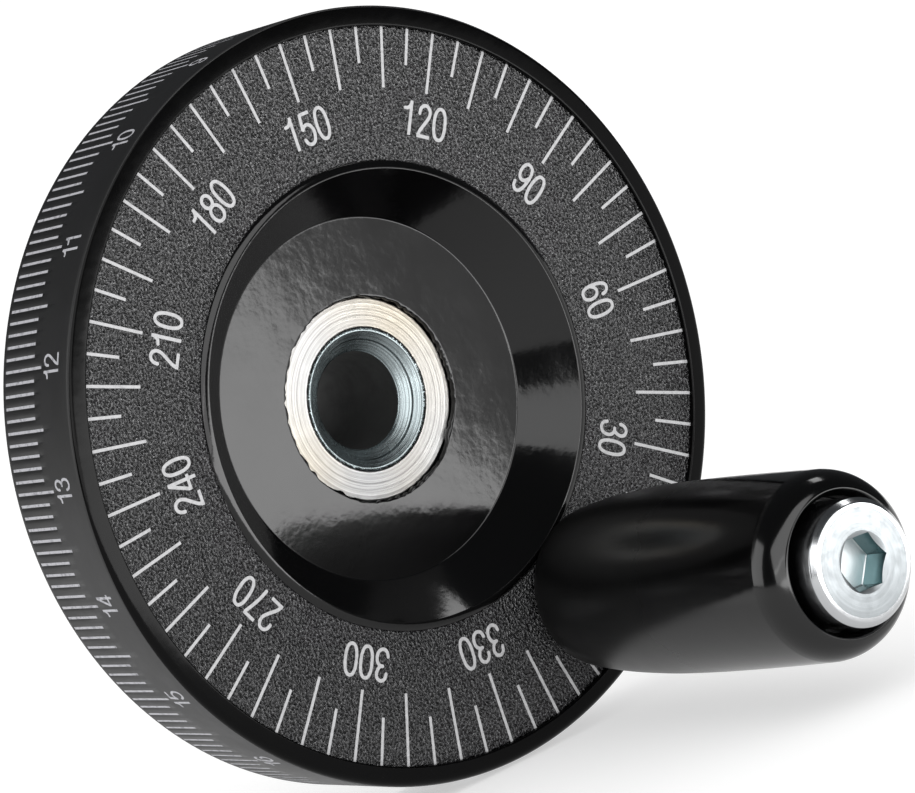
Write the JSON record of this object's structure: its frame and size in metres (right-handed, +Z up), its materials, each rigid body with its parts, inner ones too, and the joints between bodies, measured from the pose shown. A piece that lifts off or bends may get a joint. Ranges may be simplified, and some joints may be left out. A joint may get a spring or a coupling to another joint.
{
  "type": "machine handwheel",
  "caption": "Dished black handwheel with an angular scale on its face and rim, a steel-bushed plain bore, and a revolving barrel handle on one side.",
  "frame": {"origin": "on the bore axis at the hub's back face, the face that goes against the shaft's shoulder", "axes": "Y is the wheel's axis and the bore's: the dial and the handle face -Y and the shaft leaves towards +Y. The handle's axis lies at (+X, -Z), 60 degrees below +X. Z is up as shown."},
  "size_m": [0.1, 0.0845, 0.1],
  "materials": {
    "phenolic": "polished black moulding; matt grained dial band with white print, paint-filled scale engraved round the rim",
    "hub_steel": "turned face, countersunk mouth",
    "insert_steel": "plain turned steel",
    "screw_plate": "bright zinc plate, turned head",
    "grip_phenolic": "polished black moulding"
  },
  "bodies": {
    "wheel": {"wheel_body": "phenolic", "hub_insert": "hub_steel", "handle_insert": "insert_steel", "handle_screw": "screw_plate"},
    "grip": {"handle_grip": "grip_phenolic"}
  },
  "joints": [
    {"name": "grip_spin", "type": "hinge", "parent": "wheel", "child": "grip", "pos_m": [0.0192, -0.055, -0.03325], "axis": [0, 1, 0], "continuous": true}
  ]
}
